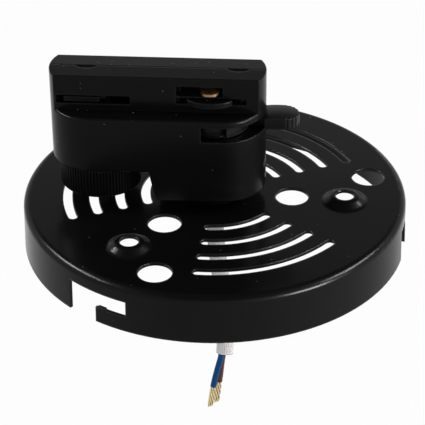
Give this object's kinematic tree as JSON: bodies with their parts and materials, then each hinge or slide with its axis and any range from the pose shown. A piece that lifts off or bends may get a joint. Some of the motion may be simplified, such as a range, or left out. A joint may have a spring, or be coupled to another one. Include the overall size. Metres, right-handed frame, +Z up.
{
  "type": "track light adapter",
  "caption": "Track light adapter with a turning contact rotor, a lock knob and a round vented canopy plate below, with sleeved leads hanging from it.",
  "frame": {"origin": "middle of the stem, on the shoulder that bears on the track", "axes": "+Z up into the track, +X along the track towards the contact rotor, -Y towards the lever slot's open side"},
  "size_m": [0.1212, 0.1212, 0.1287],
  "materials": {
    "canopy": "semi-gloss black powder coat",
    "shell": "fine satin black moulding",
    "rotor": "satin black moulding",
    "knob": "satin black moulding",
    "collar": "matt black moulding",
    "steel": "plain",
    "zinc": "zinc plated",
    "copper": "pressed copper alloy",
    "sleeve": "fine off-white glass braid",
    "blue_cover": "smooth blue insulation",
    "brown_cover": "smooth brown insulation",
    "strands": "twisted bare strands"
  },
  "bodies": {
    "adapter": {"canopy_plate": "canopy", "housing_front": "shell", "housing_rear": "shell", "housing_screws": "steel", "knob_spring": "steel", "threaded_nipple": "zinc", "lock_nut": "zinc", "spacer_collar": "collar", "toothed_washer": "zinc", "canopy_nut": "zinc", "braided_sleeve": "sleeve", "blue_lead": "blue_cover", "brown_lead": "brown_cover", "blue_strands": "strands", "brown_strands": "strands"},
    "rotor": {"contact_rotor": "rotor", "live_contact": "copper", "neutral_contact": "copper", "release_lever": "rotor", "retaining_clip": "steel"},
    "lock": {"lock_knob": "knob", "lock_spindle": "rotor", "knob_screw": "steel", "knob_washer": "steel"}
  },
  "joints": [
    {"name": "lever_turn", "type": "hinge", "parent": "adapter", "child": "rotor", "pos_m": [0.0164, 0, 0], "axis": [0, 0, 1], "range_deg": [-90, 0]},
    {"name": "knob_turn", "type": "hinge", "parent": "adapter", "child": "lock", "pos_m": [-0.0184, 0, 0], "axis": [0, 0, 1], "range_deg": [0, 90]}
  ]
}
